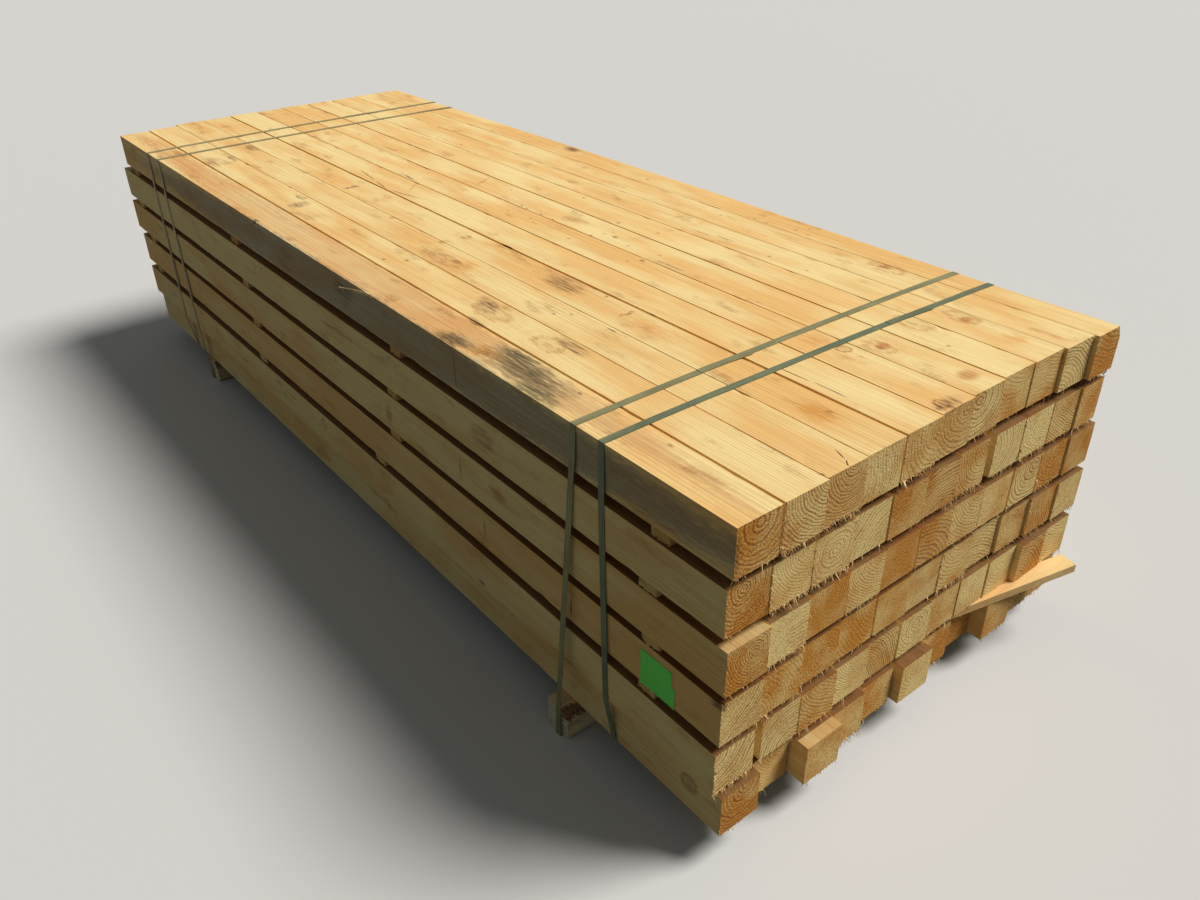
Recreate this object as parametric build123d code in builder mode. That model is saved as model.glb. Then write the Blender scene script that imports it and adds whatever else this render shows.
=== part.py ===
from build123d import *
import math
import os

# Strapped pack of sawn timber posts, lying on two rough bearers.
# Frame: X runs along the posts, with +X at their near end, Y across the pack, Z up.
# The origin is on the floor, below the middle of the whole pack.

# Posts
post_length = 3000.0
post_size = 97.5
post_spacing = 2.5
posts_across = 11

# Wane left by the round log along the outer edges of the last post in the top layer
top_wane_width = 12.0
top_wane_depth = 9.0
low_wane_width = 13.0
low_wane_depth = 22.0

# Spacer laths that lie across the pack between the layers
lath_thickness = 20.0
lath_width = 45.0
lath_length = 1068.0
lath_overhang = 2.0
skew_angle = 12.7
skewed_lath_inset = 16.0

# Rough bearers under the pack
bearer_height = 75.0
bearer_width = 70.0
bark_edge_width = 16.0
bark_edge_depth = 24.0
bearer_rounding = 9.0
near_bearer_inset = 430.0
near_bearer_left_overhang = 31.0
far_bearer_inset = 490.0
far_bearer_left_overhang = 1.0

# Plastic straps
strap_width = 16.0
strap_thickness = 0.9
strap_weld_length = 130.0
strap_pressed_depth = 1.0
strap_groove_width = 17.0

# Where each strap crosses the four long edges of the pack, as distances along the posts
# from the middle of its own bearer: top left, top right, low left, low right. The last
# value is how far right of the middle of the pack its weld lies.
near_bearer_strap = [52, 60, 6, 6, -190]
near_posts_strap = [127, 149, 140, 152, 250]
far_posts_strap = [-162, -194, -155, -178, 235]
far_bearer_strap = [-57, -75, -15, -15, 470]

# Sticker on the side of one post
sticker_width = 90.0
sticker_height = 80.0
sticker_thickness = 0.3
sticker_from_near_end = 106.0
sticker_layer = 3

# One row or value for each layer, from the top layer down.
left_side_shift = [0, -4, -4, -3, -7, 11]
gaps_between_posts = [
    [5, 1.5, 1, 6, 3, 2, 4, 1.5, 1, 1],
    [2, 2, 2.5, 3, 2, 2, 17, 1, 1, 1.5],
    [2, 5.5, 2.5, 3, 4, 1, 1, 6, 4, 1],
    [1, 7, 3, 5, 1, 1, 1, 1, 1, 1],
    [21, 1.5, 2, 1, 4, 1, 1, 4.5, 1, 1],
    [2, 6, 1, 1, 11, 4, 1, 2, 2, 2],
]
wider_than_high = [0, 0, 1, 2, 0, 0]
last_post_shortfall = [7, 15.5, 0, 0, 0, 0]
near_end_offset = [
    [6, 6, 2, 1, -1, -5, -9, -13, -11, -4, 6],
    [-1, 0, 0, -3, -1, -3, -8, -5, -4, -3, 1],
    [9, 4, 0, -1, -3, -3, -4, -4, -4, -4, 0],
    [4, 1, -6, -8, -8, -11, -10, -15, -9, -3, 1],
    [1, -2, -1, -6, -10, -9, -12, -10, -8, 5, 3],
    [7, -16, 25, 1, -9, 8, -18, -30, 5, -9, -12],
]
far_end_offset = [
    [-21, -12, 10, 8, 14, 6, 12, 9, 4, 10, 8],
    [20, 4, 9, -5, 6, 12, 0, 8, -6, 10, 5],
    [24, 12, -4, 8, 3, 10, -8, 5, 9, 2, 12],
    [-3, 6, 10, -3, 12, 4, 8, -6, 11, 7, 2],
    [-18, 8, -5, 10, 4, 9, 12, -4, 6, 3, 9],
    [3, 5, 10, -6, 8, 12, 2, 9, -5, 7, 4],
]

# The laths lie at evenly spaced stations between the outer two, and each has slipped a
# little from its station: one row for each gap, from the top gap down.
near_lath_inset = 175.0
far_lath_inset = 100.0
lath_slips = [
    [10, 12, 49, 17],
    [-15, 42, 13, -7],
    [20, 63, -1, 0],
    [5, 56, -106, -8],
    [-10, 37, -149, 96],
]

layer_count = len(gaps_between_posts)
layer_pitch = post_size + lath_thickness
pack_width = posts_across * (post_size + post_spacing)
left_side = -pack_width / 2
near_bearer_x = post_length / 2 - near_bearer_inset
far_bearer_x = far_bearer_inset - post_length / 2
near_lath_x = post_length / 2 - near_lath_inset
far_lath_x = far_lath_inset - post_length / 2
last_lath = len(lath_slips[0]) - 1
lath_step = (near_lath_x - far_lath_x) / last_lath
stack_top = bearer_height + layer_count * post_size + (layer_count - 1) * lath_thickness

# The pack is built about the middle of its posts and then moved by half of what sticks
# out further on one side than on the other.
skew = math.radians(skew_angle)
lath_tip = lath_length / 2 * math.sin(skew) + lath_width / 2 * math.cos(skew)
whole_near = near_lath_x + lath_slips[-1][-1] + lath_tip
whole_far = post_length / 2 + max(max(row) for row in far_end_offset)


def layer_bottom(layer):
    return stack_top - post_size - layer * layer_pitch


def post_width(layer, post):
    # The last posts of the top layers were sawn narrower.
    shortfall = last_post_shortfall[layer] if post == posts_across - 1 else 0
    return post_size + wider_than_high[layer] - shortfall


def post_left(layer, post):
    before = sum(post_width(layer, other) for other in range(post))
    gaps = sum(gaps_between_posts[layer][:post])
    return left_side + left_side_shift[layer] + before + gaps


def layer_right(layer):
    return post_left(layer, posts_across - 1) + post_width(layer, posts_across - 1)


whole_left = left_side - near_bearer_left_overhang
whole_right = max(layer_right(layer) for layer in range(layer_count))
to_origin = Location(((whole_far - whole_near) / 2, -(whole_left + whole_right) / 2, 0))


def save(part, name):
    placed = part.moved(to_origin)
    placed.label = name
    export_step(placed, f"parts/{name}.step")


os.makedirs("parts", exist_ok=True)

# Posts: one node for each layer, in which every post is a solid of its own
for layer in range(layer_count):
    with BuildPart() as posts:
        for post in range(posts_across):
            near_end = post_length / 2 + near_end_offset[layer][post]
            far_end = -post_length / 2 - far_end_offset[layer][post]
            width = post_width(layer, post)
            middle_y = post_left(layer, post) + width / 2
            middle_z = layer_bottom(layer) + post_size / 2
            with BuildSketch(Plane.YZ.offset(far_end)):
                with Locations((middle_y, middle_z)):
                    Rectangle(width, post_size)
            extrude(amount=near_end - far_end)
        if layer == 0:
            # The last post of the top layer has wane along both outer edges.
            outer = layer_right(layer)
            low = layer_bottom(layer)
            with BuildSketch(Plane.YZ):
                with BuildLine():
                    Polyline(
                        (outer, stack_top),
                        (outer - top_wane_width, stack_top),
                        (outer, stack_top - top_wane_depth),
                        close=True,
                    )
                make_face()
                with BuildLine():
                    Polyline(
                        (outer, low),
                        (outer - low_wane_width, low),
                        (outer, low + low_wane_depth),
                        close=True,
                    )
                make_face()
            extrude(amount=post_length, both=True, mode=Mode.SUBTRACT)
    save(posts.part, f"posts_layer_{layer + 1}")

# Spacer laths: one node for each gap. The lowest lath at the near end has been knocked
# askew, so its left end stays under the posts while its right end pokes out past them.
for gap in range(layer_count - 1):
    lath_left = max(post_left(gap, 0), post_left(gap + 1, 0)) - lath_overhang
    with BuildPart() as laths:
        for lath, slip in enumerate(lath_slips[gap]):
            askew = gap == layer_count - 2 and lath == last_lath
            turned = -skew_angle if askew else 0
            middle_x = far_lath_x + lath * lath_step + slip
            middle_y = lath_left + lath_length / 2 + (skewed_lath_inset if askew else 0)
            with BuildSketch(Plane.XY.offset(layer_bottom(gap) - lath_thickness)):
                with Locations((middle_x, middle_y)):
                    Rectangle(lath_width, lath_length, rotation=turned)
            extrude(amount=lath_thickness)
    save(laths.part, f"spacer_laths_{gap + 1}")


def make_bearer(middle_x, left_end, strap_x):
    # Sawn square, with a bark edge on one upper corner and worn lower corners. The strap
    # under it is pressed into the wood, so the bearer stands on its own underside.
    right_end = whole_right
    with BuildPart() as bearer:
        with BuildSketch(Plane.XZ.offset(-right_end)) as section:
            with Locations((middle_x, bearer_height / 2)):
                Rectangle(bearer_width, bearer_height)
            lower_corners = section.vertices().group_by(Axis.Y)[0]
            fillet(lower_corners, bearer_rounding)
        extrude(amount=right_end - left_end)
        with BuildSketch(Plane.XZ.offset(-right_end)):
            with BuildLine():
                Polyline(
                    (middle_x + bearer_width / 2, bearer_height),
                    (middle_x + bearer_width / 2 - bark_edge_width, bearer_height),
                    (middle_x + bearer_width / 2, bearer_height - bark_edge_depth),
                    close=True,
                )
            make_face()
        extrude(amount=right_end - left_end, mode=Mode.SUBTRACT)
        with BuildSketch(Plane.XZ.offset(-right_end)):
            with Locations((strap_x, strap_pressed_depth / 2)):
                Rectangle(strap_groove_width, strap_pressed_depth)
        extrude(amount=right_end - left_end, mode=Mode.SUBTRACT)
    return bearer.part


near_bearer_left = whole_left
far_bearer_left = left_side - far_bearer_left_overhang
save(
    make_bearer(near_bearer_x, near_bearer_left, near_bearer_x + near_bearer_strap[2]),
    "bearer_near",
)
save(
    make_bearer(far_bearer_x, far_bearer_left, far_bearer_x + far_bearer_strap[2]),
    "bearer_far",
)


def taut_outline(points):
    # A taut strap follows the convex outline of what it ties, here in (y, z).
    def turn(a, b, c):
        return (b[0] - a[0]) * (c[1] - a[1]) - (b[1] - a[1]) * (c[0] - a[0])

    ordered = sorted(set(points))
    outline = []
    for way in (ordered, ordered[::-1]):
        chain = []
        for point in way:
            while len(chain) > 1 and turn(chain[-2], chain[-1], point) <= 1:
                chain.pop()
            chain.append(point)
        outline += chain[:-1]
    return outline


def tied_corners(bearer_left=None):
    corners = []
    for layer in range(layer_count):
        for height in (layer_bottom(layer), layer_bottom(layer) + post_size):
            corners.append((post_left(layer, 0), height))
            corners.append((layer_right(layer), height))
    if bearer_left is not None:
        for height in (strap_pressed_depth, bearer_height):
            corners.append((bearer_left, height))
            corners.append((whole_right, height))
    return corners


def make_strap(corners, bearer_x, crossings):
    # The band is one flat run between each two corners, mitred where it bends, and its
    # welded overlap lies on top of the pack.
    outline = taut_outline(corners)
    edges_x = [bearer_x + along for along in crossings[:4]]
    top_left_x, top_right_x, low_left_x, low_right_x = edges_x
    weld_y = crossings[4]
    lowest = min(z for y, z in outline)
    sections = []
    for i, (y, z) in enumerate(outline):
        before = Vector(0, *outline[i - 1])
        after = Vector(0, *outline[(i + 1) % len(outline)])
        here = Vector(0, y, z)
        normal_in = (here - before).cross(Vector(1, 0, 0)).normalized()
        normal_out = (after - here).cross(Vector(1, 0, 0)).normalized()
        mitre = (normal_in + normal_out) * (strap_thickness / (1 + normal_in.dot(normal_out)))
        fall = (stack_top - z) / (stack_top - lowest)
        top_x, low_x = (top_left_x, low_left_x) if y < 0 else (top_right_x, low_right_x)
        middle = Vector(top_x + (low_x - top_x) * fall, y, z) + mitre / 2
        plane = Plane(origin=middle, x_dir=(1, 0, 0), z_dir=Vector(1, 0, 0).cross(mitre))
        sections.append((plane, mitre.length))
    across = layer_right(0) - post_left(0, 0)
    weld_share = (weld_y - post_left(0, 0)) / across
    weld_x = top_left_x + (top_right_x - top_left_x) * weld_share
    slant = math.degrees(math.atan2(top_left_x - top_right_x, across))
    with BuildPart() as strap:
        for i, (plane, depth) in enumerate(sections):
            next_plane, next_depth = sections[(i + 1) % len(sections)]
            with BuildSketch(plane):
                Rectangle(strap_width, depth)
            with BuildSketch(next_plane):
                Rectangle(strap_width, next_depth)
            loft(ruled=True)
        weld_z = stack_top + strap_thickness
        with BuildSketch(Plane((weld_x, weld_y, weld_z))):
            Rectangle(strap_width, strap_weld_length, rotation=slant)
        extrude(amount=strap_thickness)
    return strap.part


near_tied = tied_corners(near_bearer_left)
far_tied = tied_corners(far_bearer_left)
posts_tied = tied_corners()
save(make_strap(near_tied, near_bearer_x, near_bearer_strap), "strap_near_bearer")
save(make_strap(posts_tied, near_bearer_x, near_posts_strap), "strap_near_posts")
save(make_strap(posts_tied, far_bearer_x, far_posts_strap), "strap_far_posts")
save(make_strap(far_tied, far_bearer_x, far_bearer_strap), "strap_far_bearer")

# Sticker, with its lower edge at the lower edge of the post's side
with BuildPart() as sticker:
    sticker_x = post_length / 2 - sticker_from_near_end - sticker_width / 2
    sticker_z = layer_bottom(sticker_layer) + sticker_height / 2
    with BuildSketch(Plane.XZ.offset(-post_left(sticker_layer, 0))):
        with Locations((sticker_x, sticker_z)):
            Rectangle(sticker_width, sticker_height)
    extrude(amount=sticker_thickness)
save(sticker.part, "sticker")
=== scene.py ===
import math
import random

import bmesh
import bpy
from mathutils import Matrix, Vector, noise


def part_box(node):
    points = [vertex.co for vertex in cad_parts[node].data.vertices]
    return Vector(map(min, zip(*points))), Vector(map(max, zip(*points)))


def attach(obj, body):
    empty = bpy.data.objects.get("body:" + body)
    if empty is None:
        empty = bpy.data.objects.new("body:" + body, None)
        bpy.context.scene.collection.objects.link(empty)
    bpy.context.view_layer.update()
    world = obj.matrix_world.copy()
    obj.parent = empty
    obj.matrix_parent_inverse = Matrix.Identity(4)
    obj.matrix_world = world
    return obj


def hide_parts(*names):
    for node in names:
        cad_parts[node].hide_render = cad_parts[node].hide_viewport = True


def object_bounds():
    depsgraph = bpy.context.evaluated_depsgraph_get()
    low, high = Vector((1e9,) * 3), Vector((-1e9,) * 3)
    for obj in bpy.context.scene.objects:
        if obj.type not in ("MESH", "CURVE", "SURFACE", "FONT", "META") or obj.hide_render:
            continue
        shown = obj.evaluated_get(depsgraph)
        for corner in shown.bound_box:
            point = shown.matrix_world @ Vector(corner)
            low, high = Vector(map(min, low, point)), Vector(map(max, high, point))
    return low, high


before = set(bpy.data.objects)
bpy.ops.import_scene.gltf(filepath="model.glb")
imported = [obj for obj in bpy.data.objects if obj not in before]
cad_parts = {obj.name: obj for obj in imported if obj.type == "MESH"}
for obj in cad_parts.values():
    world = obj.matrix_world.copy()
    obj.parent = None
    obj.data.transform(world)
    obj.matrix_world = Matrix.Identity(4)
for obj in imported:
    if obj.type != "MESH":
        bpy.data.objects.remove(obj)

cad_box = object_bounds()
random.seed(11)

# Bearers: two short rough softwood billets that the pack stands on. They are sawn on three
# sides, keep a strip of bark along one upper edge, and their ends are split and torn.
bearer_steps = 44
bearer_tear = 0.009
bearer_roughness = 0.0022
bearer_shortfall = 0.0004
# For each bearer: how far its pith lies above its middle, and its tone from pale to dark.
bearer_facts = {"bearer_near": (-0.012, 0.42), "bearer_far": (-0.024, 0.55)}
bearer_pith_across = 0.018
# The corners of its section in halves of its width and height: the first two, where the
# round of the log is left, stand under the bark.
bearer_corners = [
    (1, 0.36), (0.55, 1), (-1, 1), (-1, -0.78), (-0.76, -1), (0.76, -1), (1, -0.78)
]
bark_halves = (0.028, 1.2, 0.030)


def put(tree, kind, inputs=(), **settings):
    made = tree.nodes.new(kind)
    for name, value in settings.items():
        setattr(made, name, value)
    for key, value in dict(inputs).items():
        if isinstance(value, bpy.types.NodeSocket):
            tree.links.new(value, made.inputs[key])
        else:
            made.inputs[key].default_value = value
    return made


def sums(tree, how, *values, clamp=False):
    made = put(tree, "ShaderNodeMath", dict(enumerate(values)), operation=how, use_clamp=clamp)
    return made.outputs[0]


def times(tree, product, *values):
    for value in values:
        product = sums(tree, "MULTIPLY", product, value)
    return product


def moved(tree, how, *values):
    made = put(tree, "ShaderNodeVectorMath", dict(enumerate(values)), operation=how)
    return made.outputs["Value" if how == "LENGTH" else "Vector"]


def stretched(tree, vector, share):
    made = put(tree, "ShaderNodeVectorMath", {0: vector, "Scale": share}, operation="SCALE")
    return made.outputs["Vector"]


def blotches(tree, vector, scale, detail=2.0, output=0):
    inputs = {"Vector": vector, "Scale": scale, "Detail": detail}
    return put(tree, "ShaderNodeTexNoise", inputs).outputs[output]


def veins(tree, vector, stretch, detail, output=0):
    # Blotches drawn out along the grain.
    return blotches(tree, moved(tree, "MULTIPLY", vector, stretch), 1.0, detail, output)


def wandering(tree, vector, stretch, detail):
    # A shift that goes to and fro with the grain.
    return moved(tree, "SUBTRACT", veins(tree, vector, stretch, detail, 1), (0.5, 0.5, 0.5))


def ranged(tree, value, low, high, to_low=0.0, to_high=1.0):
    inputs = {0: value, 1: low, 2: high, 3: to_low, 4: to_high}
    made = put(tree, "ShaderNodeMapRange", inputs, interpolation_type="SMOOTHSTEP")
    return made.outputs[0]


def mixed(tree, share, first, second, how="MIX"):
    inputs = {0: share, 6: first, 7: second}
    made = put(tree, "ShaderNodeMix", inputs, data_type="RGBA", blend_type=how)
    return made.outputs[2]


def paint(*levels):
    shares = [level / 255 for level in levels]
    linear = [s / 12.92 if s <= 0.04045 else ((s + 0.055) / 1.055) ** 2.4 for s in shares]
    return (*linear, 1.0)


def new_finish(name, roughness, shine=0.5):
    made = bpy.data.materials.new(name)
    made.use_nodes = True
    shader = made.node_tree.nodes["Principled BSDF"]
    shader.inputs["Roughness"].default_value = roughness
    shader.inputs["Specular IOR Level"].default_value = shine
    return made, made.node_tree, shader


def coat(tree, shader, colour, height=None, strength=0.0, depth=0.0):
    tree.links.new(colour, shader.inputs["Base Color"])
    if height:
        inputs = {"Strength": strength, "Distance": depth, "Height": height}
        bump = put(tree, "ShaderNodeBump", inputs)
        tree.links.new(bump.outputs[0], shader.inputs["Normal"])


# Each piece of wood takes its grain from a place of its own, this far on for each step of
# its seed, and each year takes its strength from another.
seed_step = (7.3, 3.1, 5.7)
year_step = (3.7, 1.9, 2.3)
ring_wander = 0.045
ring_jitter = 1.3
fleck_paint = paint(255, 232, 162)
# The colour of the painted shade, with some dust, on faces that lie under the layer above.
shade_and_dust_tint = paint(136, 112, 96)
wood_roughness = 0.78
wood_shine = 0.25
grain_depth = 0.0013
out_of_reach = 9.0
whorl_waves = 16


def wood(name, run, faces, ends, late_tint, marks=()):
    made, tree, shader = new_finish(name, wood_roughness, wood_shine)
    place = put(tree, "ShaderNodeTexCoord").outputs["Object"]

    def carried(attribute, output="Fac"):
        return put(tree, "ShaderNodeAttribute", attribute_name=attribute).outputs[output]

    def along_run(along, across):
        return tuple(along if axis == run else across for axis in "XYZ")

    def darker(colour, share, tint=late_tint):
        return mixed(tree, share, colour, tint, "MULTIPLY")

    cut = carried("cut")
    own = moved(tree, "ADD", place, stretched(tree, seed_step, carried("seed")))
    # The growth rings stand round the pith and wander along the log.
    drift = wandering(tree, own, along_run(0.8, 6), 2.0)
    from_pith = moved(tree, "SUBTRACT", place, carried("pith", "Vector"))
    from_pith = moved(tree, "ADD", from_pith, stretched(tree, drift, ring_wander))
    radius = moved(tree, "LENGTH", moved(tree, "MULTIPLY", from_pith, along_run(0, 1)))
    jitter = veins(tree, own, along_run(1.2, 38), 3.0)
    turns = times(tree, radius, carried("rings"))
    turns = sums(tree, "MULTIPLY_ADD", jitter, ring_jitter, turns)
    year = sums(tree, "FRACT", turns)
    late = times(tree, ranged(tree, year, 0.2, 0.85), ranged(tree, year, 0.9, 1.0, 1.0, 0.0))
    # Some years grew darker late wood than others.
    strong = blotches(tree, stretched(tree, year_step, sums(tree, "FLOOR", turns)), 1.0)
    late = times(tree, late, ranged(tree, strong, 0.3, 0.65, 0.35, 1.0))
    fibre = veins(tree, own, along_run(4, 330), 4.0)
    patch = veins(tree, own, along_run(2.8, 11), 5.0)
    patch = ranged(tree, patch, 0.33, 0.67, -0.55, 0.55)
    speck = blotches(tree, place, 380.0, 3.0)
    # Long faces: pale sapwood to warm heartwood, with faint growth lines and fibre.
    share = sums(tree, "ADD", carried("tone"), patch, clamp=True)
    long_face = mixed(tree, share, *faces)
    long_face = darker(long_face, times(tree, late, carried("grain")))
    long_face = darker(long_face, ranged(tree, fibre, 0.42, 0.75, 0.0, 0.24))
    # Cut ends: the same rings seen square on, with pores, pale flecks and torn places.
    share = sums(tree, "ADD", carried("end_tone"), times(tree, patch, 0.6), clamp=True)
    end_face = mixed(tree, share, *ends)
    end_face = darker(end_face, times(tree, late, carried("figure")))
    end_face = darker(end_face, ranged(tree, speck, 0.5, 0.68, 0.0, 0.6))
    flecks = ranged(tree, speck, 0.3, 0.46, 0.45, 0.0)
    end_face = mixed(tree, flecks, end_face, fleck_paint)
    torn = veins(tree, own, (60, 60, 210), 3.0)
    torn = ranged(tree, torn, 0.56, 0.74, 0.0, 0.35)
    end_face = darker(end_face, torn)
    # Here and there the saw has bruised the face, and dust has caught in it.
    bruised = veins(tree, own, along_run(9, 24), 6.0)
    bruised = ranged(tree, bruised, 0.57, 0.74, 0.0, 0.5)
    chatter = veins(tree, own, along_run(170, 60), 2.0)
    chatter = ranged(tree, chatter, 0.35, 0.6, 0.45, 1.0)
    long_face = darker(long_face, times(tree, bruised, chatter))
    # Faces covered by the layer above are painted darker: painted shade from the layer above,
    # with some dust.
    long_face = darker(long_face, carried("covered"), shade_and_dust_tint)
    colour = mixed(tree, cut, long_face, end_face)
    # Knots, stains and checks, each where it lies on its own post, with edges that the
    # grain frays.
    if marks:
        fray = wandering(tree, own, (30, 150, 150), 3.0)
        streaks = veins(tree, own, (14, 210, 210), 2.0)
        streaks = ranged(tree, streaks, 0.62, 0.38)
    mask = 0.0
    for kind, spots in dict(marks).items():
        tint, strength, inner, raggedness, broken = mark_kinds[kind]
        # An edge frays a little more where it lies on the mark before.
        raggedness = sums(tree, "MULTIPLY_ADD", mask, 0.002, raggedness)
        frayed = moved(tree, "ADD", place, stretched(tree, fray, raggedness))
        reach = out_of_reach
        for spot, halves, turn in spots:
            inputs = {"Vector": frayed, "Location": spot, "Rotation": turn, "Scale": halves}
            near = put(tree, "ShaderNodeMapping", inputs, vector_type="TEXTURE").outputs[0]
            reach = sums(tree, "MINIMUM", moved(tree, "LENGTH", near), reach)
        mask = ranged(tree, reach, inner, 1.05, strength, 0.0)
        if kind == "ring":
            mask = times(tree, mask, ranged(tree, reach, 0.45, 0.8, 0.2, 1.0))
        if kind == "whorl":
            waves = sums(tree, "SINE", times(tree, reach, whorl_waves))
            mask = times(tree, mask, ranged(tree, waves, -0.4, 0.8, 0.25, 1.0))
        if broken:
            mask = times(tree, mask, sums(tree, "MULTIPLY_ADD", streaks, -broken, 1.0))
        colour = darker(colour, mask, tint)
    relief = sums(tree, "MULTIPLY_ADD", late, 0.3, times(tree, fibre, 0.8))
    rough_end = sums(tree, "MULTIPLY_ADD", late, 0.5, times(tree, speck, 1.8))
    rough_end = sums(tree, "SUBTRACT", rough_end, torn)
    swing = put(tree, "ShaderNodeMix", {0: cut, 2: relief, 3: rough_end}).outputs[0]
    coat(tree, shader, colour, swing, 0.6, grain_depth)
    return made


def set_down(name, data):
    made = bpy.data.objects.new(name, data)
    bpy.context.scene.collection.objects.link(made)
    return made


def new_piece(name, mesh, slot, *nodes):
    piece = set_down(name, mesh)
    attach(piece, "root")
    if nodes:
        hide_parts(*nodes)


def section_of(corners, parts, width, height):
    # The outline of a section, with each of its sides split into so many parts.
    outline = []
    for (u, v), (next_u, next_v), count in zip(corners, corners[1:] + corners[:1], parts):
        for part in range(count):
            share = part / count
            x = (u + (next_u - u) * share) * width
            outline.append((x, (v + (next_v - v) * share) * height))
    return outline


seed_range = 9
# How often a sawn face's roughness changes, across and along the grain, and a torn end's.
face_grain = (60, 9)
torn_grain = 130
seed_shift = 90
slimmest = 0.004


def draw_board(body, outline, length, middle, turn, ragged, rough, steps, pith, **facts):
    # A board sawn along Y: the outline is carried from end to end, its faces are rough,
    # and its two ends are torn.
    layers = body.verts.layers
    seed = random.random()
    facts["seed"] = seed * seed_range
    pith = middle + pith
    across, along = face_grain
    place = Matrix.Translation(middle) @ Matrix.Rotation(turn, 4, "Z")
    rings = []
    for step in range(steps + 1):
        ring = []
        for u, v in outline:
            y = (step / steps - 0.5) * length
            grain = Vector((u * across, y * along, v * across))
            grain += Vector((seed, seed, seed)) * seed_shift
            inward = rough * (0.5 + 0.5 * noise.noise(grain))
            spot = Vector((u, 0, v))
            spot *= 1 - inward / max(spot.length, slimmest)
            if step in (0, steps):
                splinter = Vector((u * torn_grain, seed * 50 + step, v * torn_grain))
                tear = 0.5 + 0.5 * noise.noise(splinter)
                y -= (1 if step else -1) * ragged * tear
            ring.append(body.verts.new(place @ Vector((spot.x, y, spot.z))))
        rings.append(ring)
    for ring, after in zip(rings, rings[1:]):
        for i, vert in enumerate(ring):
            j = (i + 1) % len(ring)
            body.faces.new((vert, ring[j], after[j], after[i]))
    cut = body.faces.layers.float["cut"]
    for ring, side in ((rings[0], -1), (rings[-1], 1)):
        y = side * (length / 2 - ragged * 0.5)
        heart = body.verts.new(place @ Vector((0, y, 0)))
        for i, vert in enumerate(ring):
            body.faces.new((vert, ring[(i + 1) % len(ring)], heart))[cut] = 1.0
        ring.append(heart)
    for ring in rings:
        for vert in ring:
            vert[layers.float_vector["pith"]] = pith
            for name, value in facts.items():
                vert[layers.float[name]] = value


def wood_body():
    body = bmesh.new()
    for name in ("seed", "tone", "end_tone", "rings", "figure", "grain"):
        body.verts.layers.float.new(name)
    body.verts.layers.float_vector.new("pith")
    body.faces.layers.float.new("cut")
    return body


def mesh_of(body, name, material):
    mesh = bpy.data.meshes.new(name)
    body.to_mesh(mesh)
    body.free()
    mesh.materials.append(material)
    return mesh


def wood_piece(name, body, material, slot, node):
    bmesh.ops.remove_doubles(body, verts=body.verts, dist=1e-6)
    bmesh.ops.recalc_face_normals(body, faces=body.faces)
    new_piece(name, mesh_of(body, node, material), slot, node)


# Each kind of mark: its colour, its strength, how far out it stays full, how far the grain
# frays its edge, in metres, and how much of it the grain breaks up.
mark_kinds = {
    "worn": (paint(238, 227, 228), 1.0, 0.8, 0.040, 0.0),
    "bark": (paint(116, 84, 66), 1.0, 0.75, 0.030, 0.3),
    "dull": (paint(184, 192, 224), 1.0, 0.7, 0.040, 0.0),
    "grey": (paint(112, 116, 118), 1.0, 0.3, 0.045, 0.3),
    "dark": (paint(140, 120, 128), 1.0, 0.25, 0.030, 0.75),
    "brown": (paint(204, 178, 174), 1.0, 0.4, 0.030, 0.7),
    "ochre": (paint(236, 212, 176), 1.0, 0.2, 0.060, 0.0),
    "orange": (paint(243, 214, 188), 0.7, 0.2, 0.060, 0.0),
    "whorl": (paint(206, 172, 146), 0.8, 0.3, 0.036, 0.45),
    "knot": (paint(212, 172, 146), 1.0, 0.3, 0.014, 0.4),
    "ring": (paint(200, 168, 158), 1.0, 0.7, 0.014, 0.2),
    "spot": (paint(160, 132, 130), 0.75, 0.2, 0.007, 0.0),
    "check": (paint(104, 82, 80), 1.0, 0.6, 0.003, 0.0),
}
bark_strips = []
for node in bearer_facts:
    low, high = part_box(node)
    edge = Vector((high.x, (low.y + high.y) / 2, high.z))
    bark_strips.append((edge, Vector(bark_halves), (0, 0, 0)))
bearer_wood = wood(
    "bearer_wood",
    "Y",
    (paint(244, 224, 176), paint(206, 174, 124)),
    (paint(255, 250, 225), paint(240, 212, 168)),
    paint(150, 110, 74),
    {"bark": bark_strips},
)
for node, (pith_above, tone) in bearer_facts.items():
    low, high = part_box(node)
    half = (high - low) / 2
    body = wood_body()
    draw_board(
        body,
        section_of(bearer_corners, [4] * len(bearer_corners), half.x, half.z),
        length=2 * half.y - bearer_shortfall,
        middle=(low + high) / 2,
        turn=0,
        ragged=bearer_tear,
        rough=bearer_roughness,
        steps=bearer_steps,
        pith=Vector((bearer_pith_across, 0, pith_above)),
        tone=tone,
        end_tone=tone,
        rings=200,
        figure=0.5,
        grain=0.3,
    )
    wood_piece(f"{node}_wood", body, bearer_wood, "bearer_wood", node)

# Posts: sixty-six square softwood posts in six layers, sawn rough on all sides and cut
# square at both ends. Each was cut from its own place in the log, so its rings differ.
post_steps = 120
# The middle of the posts' top in the row's frame, in millimetres.
posts_middle = (-18.17, 7.75, 760.0)
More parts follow.
